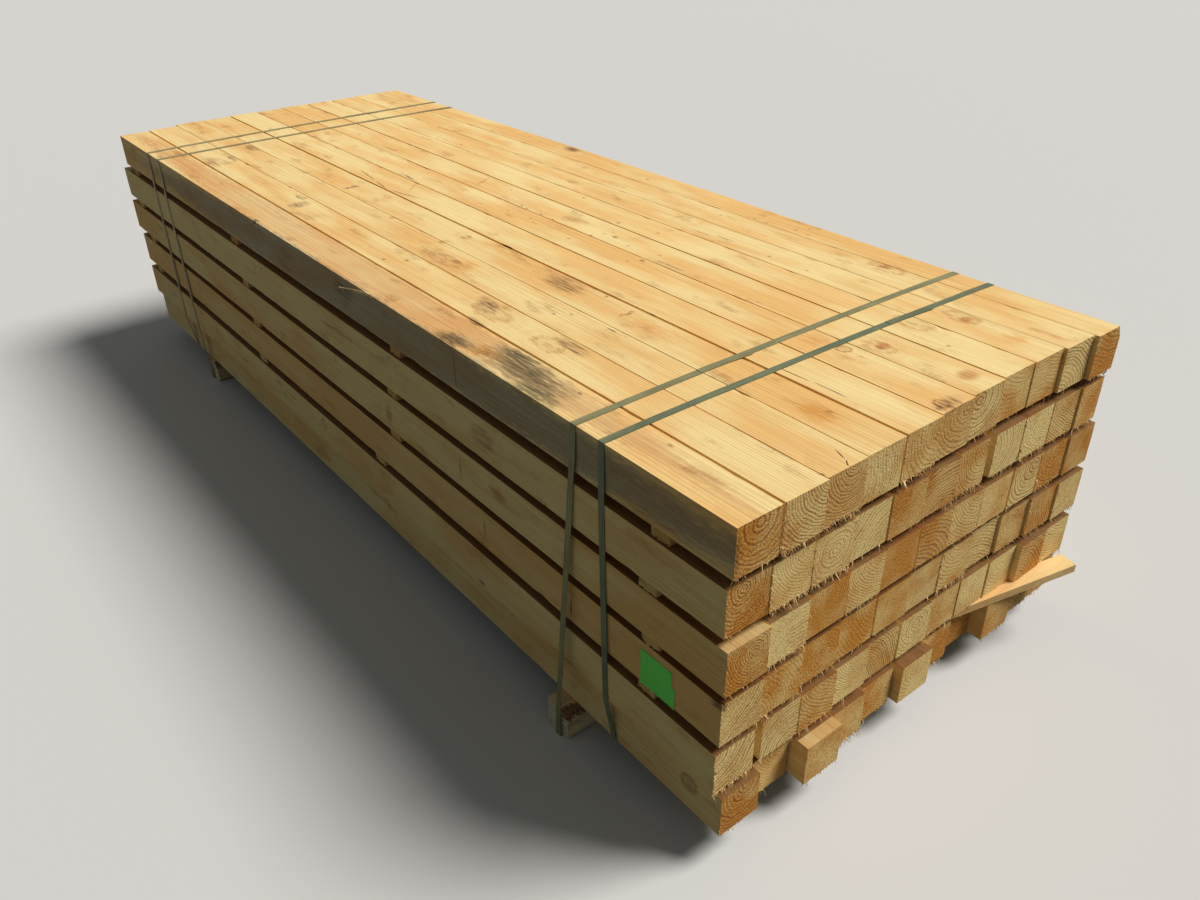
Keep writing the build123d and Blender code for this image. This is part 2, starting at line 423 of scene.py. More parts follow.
# Where the pith lies from the middle of each post, across and up, in millimetres.
layer_pith = [
    [(8, 40), (60, 62), (12, 50), (-190, 30), (60, 30), (30, 35), (-30, 30), (20, 120),
     (-20, -130), (-90, -140), (30, 130)],
    [(-15, 32), (38, 48), (4, 2), (130, -110), (-60, 110), (20, -140), (38, 30), (-60, 20),
     (60, 60), (90, 120), (20, 80)],
    [(10, 15), (40, -90), (-80, 30), (100, 110), (-30, 120), (-60, -90), (40, 70), (-60, 140),
     (30, 30), (5, 25), (-80, 60)],
    [(-110, 130), (-100, -60), (0, 0), (90, 80), (-120, 50), (60, -100), (20, 60),
     (-30, -110), (0, 20), (120, 40), (-90, 90)],
    [(-50, 50), (30, -60), (80, 110), (10, 55), (-100, -70), (5, 15), (-120, 60), (90, -30),
     (20, 40), (-80, -100), (40, 100)],
    [(10, 42), (60, 90), (30, -40), (-60, 50), (90, 60), (0, 30), (-90, 110), (70, -80),
     (20, 20), (-40, -60), (60, 60)],
]
# Each end from pale cream, 0, to orange brown, 1.
layer_end_tones = [
    [0.85, 0.45, 0.3, 0.3, 0.4, 0.35, 0.35, 0.55, 0.6, 0.05, 0.9],
    [0.8, 0.3, 0.35, 0.08, 0.75, 0.75, 0.5, 0.08, 0.1, 0.5, 0.6],
    [0.75, 0.1, 0.8, 0.5, 0.65, 0.8, 0.5, 0.4, 0.2, 0.8, 0.8],
    [0.08, 0.7, 0.85, 0.8, 0.5, 0.5, 0.6, 0.4, 0.55, 0.95, 0.15],
    [0.1, 0.3, 0.75, 0.2, 0.6, 0.12, 0.45, 0.2, 0.2, 0.75, 0.15],
    [0.9, 0.6, 0.5, 0.5, 0.75, 0.15, 0.8, 0.8, 0.7, 0.5, 0.4],
]
# Each top and left face from pale, 0, to warm, 1, and how much its growth lines show.
top_tones = [0.85, 0.4, 0.45, 0.6, 0.35, 0.6, 0.45, 0.3, 0.35, 0.45, 0.6]
side_tones = [0.5, 0.2, 0.6, 0.95, 0.25, 0.3]
top_grains = [0.2, 0.26, 0.24, 0.18, 0.12, 0.1, 0.08, 0.06, 0.12, 0.1, 0.12]
# A face of a lower post takes its tone from this and a share of its end's.
covered_tone = 0.15
end_share = 0.5
covered_grain = 0.16
ring_counts = (115, 130, 150, 180)
ring_strengths = (0.3, 0.5, 0.7, 0.9)
# Ends, as layer and post, whose rings stand out most.
bold_ends = {(0, 1), (0, 2), (1, 0), (1, 5), (2, 8), (4, 0), (4, 1), (5, 0)}
# How far the outer edge of the last post is rounded, in the top layer and in the others.
top_wane = 0.018
other_wane = 0.002
# Marks on the top of the pack: along, across, half their length and width, and their turn
# in degrees where they have one.
top_marks = {
    "grey": [
        (700, -530, 74, 30, 6), (912, -500, 165, 52), (985, -532, 100, 30),
        (850, -476, 96, 30), (-272, -545, 24, 12),
    ],
    "dark": [
        (655, -450, 46, 14), (598, -382, 62, 28, -20), (878, -368, 66, 20),
        (-330, -400, 32, 42), (-390, -367, 42, 12), (-930, -362, 62, 10), (1488, -347, 9, 4),
        (-1015, -266, 56, 22), (612, -188, 84, 42), (1478, -6, 24, 44), (857, -150, 12, 6),
        (-385, -210, 16, 32), (-415, -170, 26, 7), (-375, -38, 78, 6), (-995, -40, 48, 6),
        (-300, 520, 48, 32),
    ],
    "worn": [(0, -500, 1600, 54)],
    "brown": [
        (250, -385, 10, 8), (-1090, -470, 70, 18), (-930, -430, 90, 22), (330, -300, 24, 14),
        (-620, -250, 22, 10), (512, -195, 20, 4), (825, -185, 7, 27), (1367, -190, 14, 8),
        (200, -190, 22, 12), (-267, -82, 43, 4, -50), (1268, 22, 12, 9), (610, 42, 8, 13, 60),
        (-187, 110, 48, 4, -55), (560, 280, 42, 5), (630, 295, 42, 5),
    ],
    "ochre": [(788, -510, 74, 38), (1352, -204, 62, 34)],
    "orange": [
        (-1320, -500, 170, 50), (-760, -500, 300, 46), (330, -380, 34, 16),
        (370, -295, 34, 40), (915, -205, 120, 44), (-220, -198, 36, 42), (1165, 15, 44, 42),
        (1407, 321, 34, 38), (500, 320, 18, 36), (425, 320, 14, 34),
    ],
    "whorl": [
        (636, -396, 120, 52), (840, -398, 92, 48), (306, -312, 110, 46), (1262, 85, 66, 44),
        (1279, 326, 84, 42), (1010, 434, 96, 40), (1234, 226, 90, 44),
    ],
    "knot": [
        (190, -255, 16, 10), (-60, -258, 15, 10), (1262, 92, 20, 22), (1437, 112, 26, 32),
        (1292, 322, 18, 22), (1000, 438, 22, 18),
    ],
    "ring": [(1470, -15, 19, 15), (1222, 25, 19, 16)],
    "spot": [
        (1040, -475, 9, 5), (1275, -470, 9, 5), (205, -422, 9, 6), (725, -302, 8, 5),
        (752, -275, 8, 5), (725, -160, 8, 5), (-390, -150, 9, 5), (1478, -34, 8, 4),
        (590, 10, 7, 4), (185, 17, 6, 4), (215, 5, 6, 3), (230, 5, 6, 3), (90, 10, 7, 4),
        (375, 0, 7, 4), (442, 95, 14, 9), (405, 88, 6, 3), (410, 115, 6, 3), (510, 80, 7, 4),
        (612, 93, 7, 4), (-60, 122, 7, 4), (210, 140, 6, 4), (-940, 90, 9, 5),
        (135, 233, 10, 6), (362, 170, 9, 6), (490, 195, 8, 5), (1342, 190, 8, 5),
        (785, 285, 8, 4), (900, 285, 8, 4), (-590, 282, 9, 5), (-840, 345, 9, 5),
        (490, 415, 8, 4), (565, 462, 8, 4), (610, 460, 8, 4), (697, 475, 8, 4),
        (740, 470, 8, 4), (715, 505, 7, 4), (117, 482, 9, 6), (-530, 515, 9, 5),
    ],
    "check": [
        (867, -261, 18, 1.6), (1468, -281, 18, 1.5, -20), (1492, -293, 11, 1.5, -41),
        (317, -147, 34, 3.5), (1232, -128, 45, 1.6, 2), (1315, -123, 44, 1.6),
        (-470, -120, 72, 1.8, -8), (-350, -137.5, 52, 1.8, -9), (-225, -130, 78, 1.8, 11),
        (80, 63, 8, 2), (110, 60, 7, 2), (175, 60, 8, 2), (230, 57, 7, 2), (395, 57, 8, 2),
        (692, 68, 43, 1.3), (-705, 78, 55, 1.5),
    ],
}
# Marks on the left side, for each layer: along, above the top, half their length and height.
side_marks = [
    {
        "dull": [(250, -50, 1700, 60)],
        "dark": [(337, -7, 55, 8), (240, -34, 70, 30)],
        "check": [(729, -50, 1.6, 46)],
    },
    {"brown": [(820, -165, 60, 34), (180, -160, 120, 12)]},
    {"check": [(718, -286, 1.6, 40)], "brown": [(862, -276, 44, 22), (400, -290, 20, 34)]},
    {"check": [(796, -400, 1.5, 28), (1098, -414, 1.8, 26)], "grey": [(1500, -358, 26, 12)]},
    {
        "check": [(1085, -560, 86, 1.3)],
        "ring": [(-18, -500, 18, 16)],
        "dark": [(770, -558, 15, 9)],
    },
    {"ring": [(1425, -620, 26, 25)], "dark": [(1425, -620, 20, 18)]},
]


def solids_of(node):
    # Each separate solid in a node, in order across and along the pack: its box's two
    # corners and all its own.
    copy = bmesh.new()
    copy.from_mesh(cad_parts[node].data)
    bmesh.ops.remove_doubles(copy, verts=copy.verts, dist=1e-5)
    waiting = set(copy.verts)
    found = []
    while waiting:
        front = [waiting.pop()]
        solid = list(front)
        while front:
            vert = front.pop()
            for edge in vert.link_edges:
                other = edge.other_vert(vert)
                if other in waiting:
                    waiting.remove(other)
                    front.append(other)
                    solid.append(other)
        places = [vert.co for vert in solid]
        low = Vector([min(place[i] for place in places) for i in range(3)])
        high = Vector([max(place[i] for place in places) for i in range(3)])
        found.append((low, high, [place.copy() for place in places]))
    copy.free()
    return sorted(found, key=lambda solid: tuple(round(v, 3) for v in solid[0].yx))


def tree_with(name, *wanted):
    tree = bpy.data.node_groups.new(name, "GeometryNodeTree")
    tree.interface.new_socket("Geometry", in_out="INPUT", socket_type="NodeSocketGeometry")
    for label, kind in wanted:
        tree.interface.new_socket(label, in_out="INPUT", socket_type=f"NodeSocket{kind}")
    tree.interface.new_socket("Geometry", in_out="OUTPUT", socket_type="NodeSocketGeometry")
    return tree, put(tree, "NodeGroupInput").outputs


def named(tree, attribute, kind="FLOAT"):
    made = put(tree, "GeometryNodeInputNamedAttribute", {0: attribute}, data_type=kind)
    return made.outputs[0]


def kept(tree, geometry, attribute, value, kind="FLOAT", domain="POINT"):
    inputs = {"Geometry": geometry, "Name": attribute, "Value": value}
    settings = {"data_type": kind, "domain": domain}
    return put(tree, "GeometryNodeStoreNamedAttribute", inputs, **settings).outputs[0]


def split(tree, vector):
    return put(tree, "ShaderNodeSeparateXYZ", {0: vector}).outputs


def joined(tree, *parts):
    return put(tree, "ShaderNodeCombineXYZ", dict(enumerate(parts))).outputs[0]


def shifted(tree, geometry, how, by):
    return put(tree, "GeometryNodeSetPosition", {0: geometry, how: by}).outputs[0]


def spread(tree, points, piece, **inputs):
    inputs = {"Points": points, "Instance": piece, **inputs}
    return put(tree, "GeometryNodeInstanceOnPoints", inputs).outputs[0]


def made_real(tree, instances):
    return put(tree, "GeometryNodeRealizeInstances", {0: instances}).outputs[0]


def close_tree(tree, geometry, material):
    flat = put(tree, "GeometryNodeSetShadeSmooth", {0: geometry, "Shade Smooth": False})
    dressed = put(tree, "GeometryNodeSetMaterial", {0: flat.outputs[0], "Material": material})
    put(tree, "NodeGroupOutput", {0: dressed.outputs[0]})


def grow(name, seedling, tree, values, slot, *nodes):
    # The tree is grown from its seedling once, and only the plain mesh is kept.
    piece = set_down(name, seedling)
    growth = piece.modifiers.new(name, "NODES")
    growth.node_group = tree
    for item in tree.interface.items_tree:
        if item.in_out == "INPUT" and item.name in values:
            growth[item.identifier] = values[item.name]
    bpy.context.view_layer.update()
    whole = piece.evaluated_get(bpy.context.evaluated_depsgraph_get())
    plain = bpy.data.meshes.new_from_object(whole)
    piece.modifiers.remove(growth)
    piece.data = plain
    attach(piece, "root")
    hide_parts(*nodes)


# A post's section is one wide and high: its long edges lie beyond this, both ways, and a
# face looks a way where its normal does by more than this.
edge_share = 0.48
square_on = 0.7


def post_tree():
    tree, given = tree_with(
        "sawn_posts",
        ("Steps", "Int"),
        ("Sawn roughness", "Float"),
        ("Chip depth", "Float"),
        ("Covered length", "Float"),
        ("Material", "Material"),
    )
    # One post of unit size: a square outline carried along a line, closed at both ends.
    line = put(tree, "GeometryNodeCurvePrimitiveLine", {"Start": (0, 0, 0), "End": (1, 0, 0)})
    stations = {"Curve": line.outputs[0], "Count": given["Steps"]}
    line = put(tree, "GeometryNodeResampleCurve", stations).outputs[0]
    ring = put(tree, "GeometryNodeCurvePrimitiveCircle", {"Resolution": 16, "Radius": 1.0})
    where = put(tree, "GeometryNodeInputPosition").outputs[0]
    sides = split(tree, moved(tree, "ABSOLUTE", where))
    squared = sums(tree, "DIVIDE", 0.5, sums(tree, "MAXIMUM", sides[0], sides[1]))
    ring = shifted(tree, ring.outputs[0], "Position", stretched(tree, where, squared))
    sweep = {"Curve": line, "Profile Curve": ring, "Fill Caps": True}
    post = put(tree, "GeometryNodeCurveToMesh", sweep).outputs[0]
    facing = put(tree, "GeometryNodeInputNormal").outputs[0]
    ahead = split(tree, moved(tree, "ABSOLUTE", facing))[0]
    post = kept(tree, post, "cut", sums(tree, "GREATER_THAN", ahead, square_on), domain="FACE")
    upward = sums(tree, "GREATER_THAN", split(tree, facing)[2], square_on)
    post = kept(tree, post, "upward", upward, domain="FACE")
    post = kept(tree, post, "section", where, "FLOAT_VECTOR")
    many = spread(tree, given["Geometry"], post, Scale=named(tree, "span", "FLOAT_VECTOR"))
    many = made_real(tree, many)
    # The tops of the lower layers lie under others and get painted shade there, with some
    # dust; their ends, which stand out, get half as much.
    along = split(tree, where)[0]
    inside = sums(tree, "LESS_THAN", sums(tree, "ABSOLUTE", along), given["Covered length"])
    shade_and_dust = sums(tree, "MULTIPLY_ADD", inside, 0.5, 0.5)
    lower = sums(tree, "GREATER_THAN", given["Covered length"], 0)
    shade_and_dust = times(tree, shade_and_dust, lower, named(tree, "upward"))
    many = kept(tree, many, "covered", shade_and_dust, domain="FACE")
    # The saw leaves the faces a little uneven, and the sharp edges are dented here and there.
    own = moved(tree, "ADD", where, stretched(tree, seed_step, named(tree, "seed")))
    uneven = veins(tree, own, (5, 30, 30), 2.0)
    depth = times(tree, uneven, given["Sawn roughness"])
    section = named(tree, "section", "FLOAT_VECTOR")
    ends = split(tree, section)
    inward = moved(tree, "MULTIPLY", section, (0, -2, -2))
    beside = sums(tree, "GREATER_THAN", sums(tree, "ABSOLUTE", ends[1]), edge_share)
    above = sums(tree, "GREATER_THAN", sums(tree, "ABSOLUTE", ends[2]), edge_share)
    edge = times(tree, beside, above)
    dents = ranged(tree, blotches(tree, own, 22.0, 3.0), 0.58, 0.8)
    dents = times(tree, dents, edge, given["Chip depth"])
    shift = stretched(tree, inward, sums(tree, "ADD", depth, dents))
    # Where the log was too thin, the outer edge is left rounded.
    right = sums(tree, "GREATER_THAN", ends[1], 0)
    upper = sums(tree, "GREATER_THAN", ends[2], 0)
    log = ranged(tree, blotches(tree, own, 4.0), 0.3, 0.7, 0.7, 1.0)
    nearer = ranged(tree, along, 0.1, 1.2)
    wane = times(tree, log, nearer, named(tree, "wane"), times(tree, edge, right, upper))
    shift = moved(tree, "ADD", shift, joined(tree, 0.0, times(tree, wane, -1)))
    many = shifted(tree, many, "Offset", shift)
    close_tree(tree, many, given["Material"])
    return tree


def at(along, across, above):
    # A place in the row's frame, from millimetres along and across the middle of the posts
    # and above their top.
    shifts = zip((along, across, above), posts_middle)
    return Vector([shift + middle for shift, middle in shifts]) / 1000


def mark(place, *halves, turn=0):
    return place, Vector(halves) / 1000, (0, 0, math.radians(turn))


def carrying(mesh, attribute, values, kind="FLOAT"):
    field = "vector" if kind == "FLOAT_VECTOR" else "value"
    made = mesh.attributes.new(attribute, kind, "POINT")
    for item, value in zip(made.data, values):
        setattr(item, field, value)


sawn_posts = post_tree()
# Each layer's left face, across, and how deep the marks on the left and on top reach.
posts_left = (-550, -554, -554, -553, -557, -539)
side_mark_depth = 18
top_mark_depth = 16
# How far from the middle of the pack, in metres, a lower layer is still covered.
covered_length = 1.478
post_edges = []
for layer in range(6):
    node = f"posts_layer_{layer + 1}"
    posts = solids_of(node)
    spots = []
    spans = []
    hearts = []
    for (low, high, _), (dy, dz) in zip(posts, layer_pith[layer]):
        middle = (low + high) / 2
        spots.append((low.x, middle.y, middle.z))
        spans.append(high - low)
        hearts.append(middle + Vector((0, dy, dz)) / 1000)
    ends = layer_end_tones[layer]
    faces = [covered_tone + end_share * tone for tone in ends] if layer else list(top_tones)
    faces[0] = side_tones[layer]
    seedling = bpy.data.meshes.new(node)
    seedling.from_pydata(spots, [], [])
    carrying(seedling, "span", spans, "FLOAT_VECTOR")
    carrying(seedling, "pith", hearts, "FLOAT_VECTOR")
    carrying(seedling, "tone", faces)
    carrying(seedling, "end_tone", ends)
    carrying(seedling, "seed", [random.random() * seed_range for _ in posts])
    carrying(seedling, "rings", [random.choice(ring_counts) for _ in posts])
    figures = [random.choice(ring_strengths) for _ in posts]
    figures = [1.0 if (layer, i) in bold_ends else share for i, share in enumerate(figures)]
    carrying(seedling, "figure", figures)
    carrying(seedling, "grain", [covered_grain] * len(posts) if layer else top_grains)
    waned = other_wane if layer else top_wane
    carrying(seedling, "wane", [0] * (len(posts) - 1) + [waned])
    marks = {}
    for kind, spots in side_marks[layer].items():
        marks[kind] = [
            mark(at(x, posts_left[layer], z), long, side_mark_depth, high)
            for x, z, long, high in spots
        ]
    for kind, spots in top_marks.items():
        if layer == 0:
            marks[kind] = marks.get(kind, []) + [
                mark(at(x, y, 0), long, wide, top_mark_depth, turn=sum(turn))
                for x, y, long, wide, *turn in spots
            ]
    material = wood(
        f"sawn_softwood_{layer + 1}",
        "X",
        (paint(255, 226, 158), paint(246, 196, 122)),
        (paint(255, 224, 150), paint(212, 142, 50)),
        paint(172, 140, 112),
        marks,
    )
    values = {
        "Steps": post_steps,
        "Sawn roughness": 0.0011,
        "Chip depth": 0.002,
        "Covered length": covered_length if layer else 0.0,
        "Material": material,
    }
    grow(f"sawn_posts_{layer + 1}", seedling, sawn_posts, values, "sawn_softwood", node)
    post_edges += [(layer, low, high) for low, high, _ in posts]

# Peeled sliver: a thin strip of the wood itself that has come loose along the upper left
# edge of the top layer. It curls out and down, and is still held at one end.
sliver_steps = 14
# In millimetres: where it starts, and how far it runs, stands out, sags and rises at its tip.
sliver_start = (392, -549.4, -3)
sliver_run = 112
sliver_out = 26
sliver_sag = 9
sliver_rise = 5
sliver_height = 0.0032
sliver_thickness = 0.0009
torn_wood, tree, shader = new_finish("torn_wood", 0.85)
shade = put(tree, "ShaderNodeAttribute", attribute_name="shade").outputs["Fac"]
place = put(tree, "ShaderNodeTexCoord").outputs["Object"]
cloud = ranged(tree, blotches(tree, place, 70.0), 0.3, 0.7, -0.3, 0.3)
shade = sums(tree, "ADD", shade, cloud)
coat(tree, shader, mixed(tree, shade, paint(170, 118, 62), paint(255, 226, 164)))
sliver = bmesh.new()
rings = []
for step in range(sliver_steps + 1):
    share = step / sliver_steps
    along = sliver_start[0] - sliver_run * share
    across = sliver_start[1] - sliver_out * share**2.2
    above = sliver_start[2] - sliver_sag * share**1.6 + sliver_rise * share**4
    spot = at(along, across, above)
    half = Vector((0.0, 0.0004, sliver_height * (1 - share) ** 0.6 + 0.0003))
    thick = Vector((0.0006 * share, -sliver_thickness * (1 - 0.6 * share), 0.0))
    ring = (spot - half, spot + half, spot + half + thick, spot - half + thick)
    rings.append([sliver.verts.new(corner) for corner in ring])
for ring, after in zip(rings, rings[1:]):
    for i in range(4):
        sliver.faces.new((ring[i], ring[(i + 1) % 4], after[(i + 1) % 4], after[i]))
sliver.faces.new(rings[0])
sliver.faces.new(rings[-1])
bmesh.ops.recalc_face_normals(sliver, faces=sliver.faces)
mesh = mesh_of(sliver, "peeled_sliver", torn_wood)
carrying(mesh, "shade", [0.6 + 0.4 * random.random() for _ in mesh.vertices])
new_piece("peeled_sliver", mesh, "sawn_softwood")

# Torn fibres: the saw tears the wood where it leaves each end, so short hairs hang from
# the lower edges of the ends, thick on some posts and almost none on others.
corner_gap = 0.003
side_gap = 0.001
far_gap = 0.007
curl_reach = 0.004
# The share of the places that are taken on a thin end, and the thick ends, as layer and post.
thin_fringes = (0.06, 0.15, 0.3)
thick_ends = {
    (0, 1), (0, 2), (0, 4), (1, 1), (1, 2), (1, 6), (1, 8), (2, 1), (3, 6), (4, 0), (5, 3)
}


def fibre_tree():
    tree, given = tree_with(
        "torn_fibres",
        ("Spacing", "Float"),
        ("Thickness", "Float"),
        ("Longest", "Float"),
        ("Farthest", "Float"),
        ("Seed", "Int"),
        ("Material", "Material"),
    )
    edge = put(tree, "GeometryNodeMeshToCurve", {0: given["Geometry"]}).outputs[0]
    inputs = {"Curve": edge, "Length": given["Spacing"]}
    spots = put(tree, "GeometryNodeCurveToPoints", inputs, mode="LENGTH").outputs[0]
    cone = {
        "Vertices": 4,
        "Side Segments": 3,
        "Fill Segments": 1,
        "Radius Top": 0.0,
        "Radius Bottom": given["Thickness"],
        "Depth": 1.0,
    }
    hair = put(tree, "GeometryNodeMeshCone", cone).outputs[0]

    def chance(low, high, turn, kind="FLOAT"):
        inputs = {"Seed": sums(tree, "ADD", given["Seed"], turn)}
        made = put(tree, "FunctionNodeRandomValue", inputs, data_type=kind)
        first, output = {"FLOAT": (2, 1), "FLOAT_VECTOR": (0, 0)}[kind]
        made.inputs[first].default_value = low
        made.inputs[first + 1].default_value = high
        return made.outputs[output]

    # Each hair stands a little off its place, leans out and down, and is mostly short.
    jitter = chance((-0.0025, -0.002, -0.001), (0.0005, 0.002, 0.002), 1, "FLOAT_VECTOR")
    spots = shifted(tree, spots, "Offset", jitter)
    picked = sums(tree, "LESS_THAN", chance(0.0, 1.0, 2), named(tree, "fringe"))
    lean = chance((2.45, -1.0, -0.5), (3.6, 0.35, 0.5), 3, "FLOAT_VECTOR")
    long = times(tree, sums(tree, "POWER", chance(0.3, 1.0, 4), 2.0), given["Longest"])
    size = joined(tree, chance(0.5, 1.5, 5), chance(0.5, 1.5, 6), long)
    many = spread(tree, spots, hair, Selection=picked, Rotation=lean, Scale=size)
    many = kept(tree, many, "shade", chance(0.0, 1.0, 7), domain="INSTANCE")
    many = made_real(tree, many)
    # It curls, but reaches no farther than the posts themselves.
    where = put(tree, "GeometryNodeInputPosition").outputs[0]
    curl = moved(tree, "SUBTRACT", blotches(tree, where, 160.0, 1.0, 1), (0.5, 0.5, 0.5))
    curled = moved(tree, "ADD", where, stretched(tree, curl, curl_reach))
    curled = moved(tree, "MINIMUM", curled, joined(tree, given["Farthest"], 1.0, 1.0))
    many = shifted(tree, many, "Position", curled)
    close_tree(tree, many, given["Material"])
    return tree


corners = []
edges = []
fringes = []
for layer, low, high in post_edges:
    post = sum(1 for other in post_edges if other[0] == layer and other[1].y < low.y)
    thick = 1.0 if (layer, post) in thick_ends else random.choice(thin_fringes)
    left, right = low.y + corner_gap, high.y - corner_gap
    side, far = low.y + side_gap, low.x + far_gap
    # Along the near end's lower edge, up its left edge, and along the far end's lower edge.
    runs = [
        ((high.x, left, low.z), (high.x, right, low.z), thick),
        ((high.x, side, low.z), (high.x, side, high.z), thick * 0.25),
        ((far, left, low.z), (far, right, low.z), thick * 0.6),
    ]
    for start, end, share in runs:
        edges.append((len(corners), len(corners) + 1))
        corners += [start, end]
        fringes += [share, share]
seedling = bpy.data.meshes.new("torn_fibres")
seedling.from_pydata(corners, edges, [])
carrying(seedling, "fringe", fringes)
values = {
    "Spacing": 0.0009,
    "Thickness": 0.0009,
    "Longest": 0.017,
    "Farthest": cad_box[1][0],
    "Seed": 5,
    "Material": torn_wood,
}
grow("torn_fibres", seedling, fibre_tree(), values, "sawn_softwood")

# Spacer laths: thin sawn strips laid across the pack between two layers. They were broken
# to length, so their ends are torn, and the lowest one at the near end has slipped askew.
lath_wood = wood(
    "lath_wood",
    "Y",
    (paint(246, 214, 150), paint(222, 170, 108)),
    (paint(240, 208, 136), paint(214, 160, 84)),
    paint(178, 148, 124),
)
lath_tones = [0.8, 0.5, 0.4, 0.35, 0.3]
lath_corners = [(0.5, -0.5), (0.5, 0.5), (-0.5, 0.5), (-0.5, -0.5)]
lath_parts = (2, 7, 2, 7)
lath_pith = Vector((0.02, 0, 0.05))
lath_tone_spread = 0.15
# The askew one keeps to its solid's ends, and the others end in longer splinters.
lath_tear = 0.009
askew_tear = 0.002
askew_turn = 0.02
for gap in range(5):
    node = f"spacer_laths_{gap + 1}"
    body = wood_body()
    for low, high, places in solids_of(node):
        ends = sorted(set((round(p.x, 5), round(p.y, 5)) for p in places), key=lambda p: p[1])
        first = Vector(ends[0]) * 0.5 + Vector(ends[1]) * 0.5
        last = Vector(ends[-1]) * 0.5 + Vector(ends[-2]) * 0.5
        run = last - first
        width = (Vector(ends[0]) - Vector(ends[1])).length
        turn = math.atan2(-run.x, run.y)
        tone = lath_tones[gap] + random.uniform(-lath_tone_spread, lath_tone_spread)
        draw_board(
            body,
            section_of(lath_corners, lath_parts, width, high.z - low.z),
            length=run.length,
            middle=Vector((*(first + last) / 2, (low.z + high.z) / 2)),
            turn=turn,
            ragged=askew_tear if abs(turn) > askew_turn else lath_tear,
            rough=0.0008,
            steps=24,
            pith=lath_pith,
            tone=tone,
            end_tone=tone,
            rings=220,
            figure=0.4,
            grain=0.15,
        )
    wood_piece(f"laths_{gap + 1}", body, lath_wood, "lath_wood", node)

# Straps: four green plastic bands pulled tight round the pack, two of them also round a
# bearer. Each is bent hard over the outer edges and welded where it overlaps on top.
strap_width = 0.016
strap_thickness = 0.0009
strap_bend = 0.003
strap_step = 0.06
strap_sway = 0.0007
weld_length = 0.13
weld_steps = 8
tail_askew = 0.004
closing_run = 0.02
straight = 1e-6
# The bands bite into the bearers' undersides, so that the pack stands on the wood.
bearer_bite = 0.001
# How far the near bands reach round the outer edge of the top layer, inwards and down.
rounded_across = 0.8 * top_wane
rounded_down = 0.03
lozenges = 1900
# For each band: the bearer it ties, if any, its place along the pack on the left and right
# at the top and then at the bottom, its bow on top and its weld's place across, all in
# millimetres, and its finish.
strap_facts = {
    "strap_near_bearer": ("bearer_near", (1122, 1130, 1076, 1076), -10, -190, "olive"),
    "strap_near_posts": (None, (1197, 1219, 1210, 1222), -9, 250, "teal"),
    "strap_far_posts": (None, (-1172, -1204, -1165, -1188), -14, 235, "faded"),
    "strap_far_bearer": ("bearer_far", (-1067, -1085, -1025, -1025), -14, 470, "faded"),
}


def strapping(name, colour, worn):
    made, tree, shader = new_finish(name, 0.55, 0.3)
    place = put(tree, "ShaderNodeTexCoord").outputs["Object"]
    band = put(tree, "ShaderNodeUVMap", uv_map="band").outputs[0]
    run, across, _ = split(tree, band)
    # Embossed with small slanted lozenges that both scratch and catch the light.
    rise = sums(tree, "SINE", times(tree, sums(tree, "ADD", run, across), lozenges))
    fall = sums(tree, "SINE", times(tree, sums(tree, "SUBTRACT", run, across), lozenges))
    waffle = times(tree, rise, fall)
    dust = ranged(tree, veins(tree, band, (9, 160, 1), 3.0), 0.35, 0.75)
    tone = mixed(tree, dust, colour, worn)
    rubbed = ranged(tree, waffle, 0.35, 1.0, 0.0, 0.3)
    tone = mixed(tree, rubbed, tone, paint(214, 222, 200))
    cloud = ranged(tree, blotches(tree, place, 14.0), 0.35, 0.7, 0.0, 0.35)
    tone = mixed(tree, cloud, tone, paint(150, 150, 130), "MULTIPLY")
    coat(tree, shader, tone, waffle, 0.5, 0.0004)
    return made


strap_finishes = {
    "olive": strapping("strap_olive", paint(132, 128, 84), paint(158, 150, 104)),
    "faded": strapping("strap_faded", paint(142, 128, 80), paint(166, 146, 96)),
    "teal": strapping("strap_teal", paint(92, 106, 76), paint(124, 124, 86)),
}


def taut_outline(points):
    # The convex outline of what the strap ties, as (across, up) corners in order.
    def turn(a, b, c):
        return (b[0] - a[0]) * (c[1] - a[1]) - (b[1] - a[1]) * (c[0] - a[0])

    ordered = sorted(set(points))
    outline = []
    for way in (ordered, ordered[::-1]):
        chain = []
        for point in way:
            while len(chain) > 1 and turn(chain[-2], chain[-1], point) <= straight:
                chain.pop()
            chain.append(point)
        outline += chain[:-1]
    return outline


def band_body(body, line, closed, lift=0.0):
    # A flat band along a line of (place, outward) pairs, with its run as a UV map.
    uv = body.loops.layers.uv.verify()
    rings = []
    run = 0.0
    before = None
    for place, outward in line:
        run += (place - before).length if before else 0
        before = place
        side = Vector((strap_width / 2, 0, 0))
        inner = place + outward * lift
        outer = inner + outward * strap_thickness
        corners = (inner - side, inner + side, outer + side, outer - side)
        rings.append(([body.verts.new(corner) for corner in corners], run))
    steps = list(zip(rings, rings[1:]))
    if closed:
        steps.append((rings[-1], (rings[0][0], run + closing_run)))
    across = (0, strap_width, strap_width, 0)
    for (ring, start), (after, end) in steps:
        for i in range(4):
            j = (i + 1) % 4
            face = body.faces.new((ring[i], ring[j], after[j], after[i]))
            along = (start, start, end, end)
            for loop, reached, k in zip(face.loops, along, (i, j, j, i)):
                loop[uv].uv = (reached, across[k])
    if not closed:
        body.faces.new(rings[0][0][::-1])
        body.faces.new(rings[-1][0])


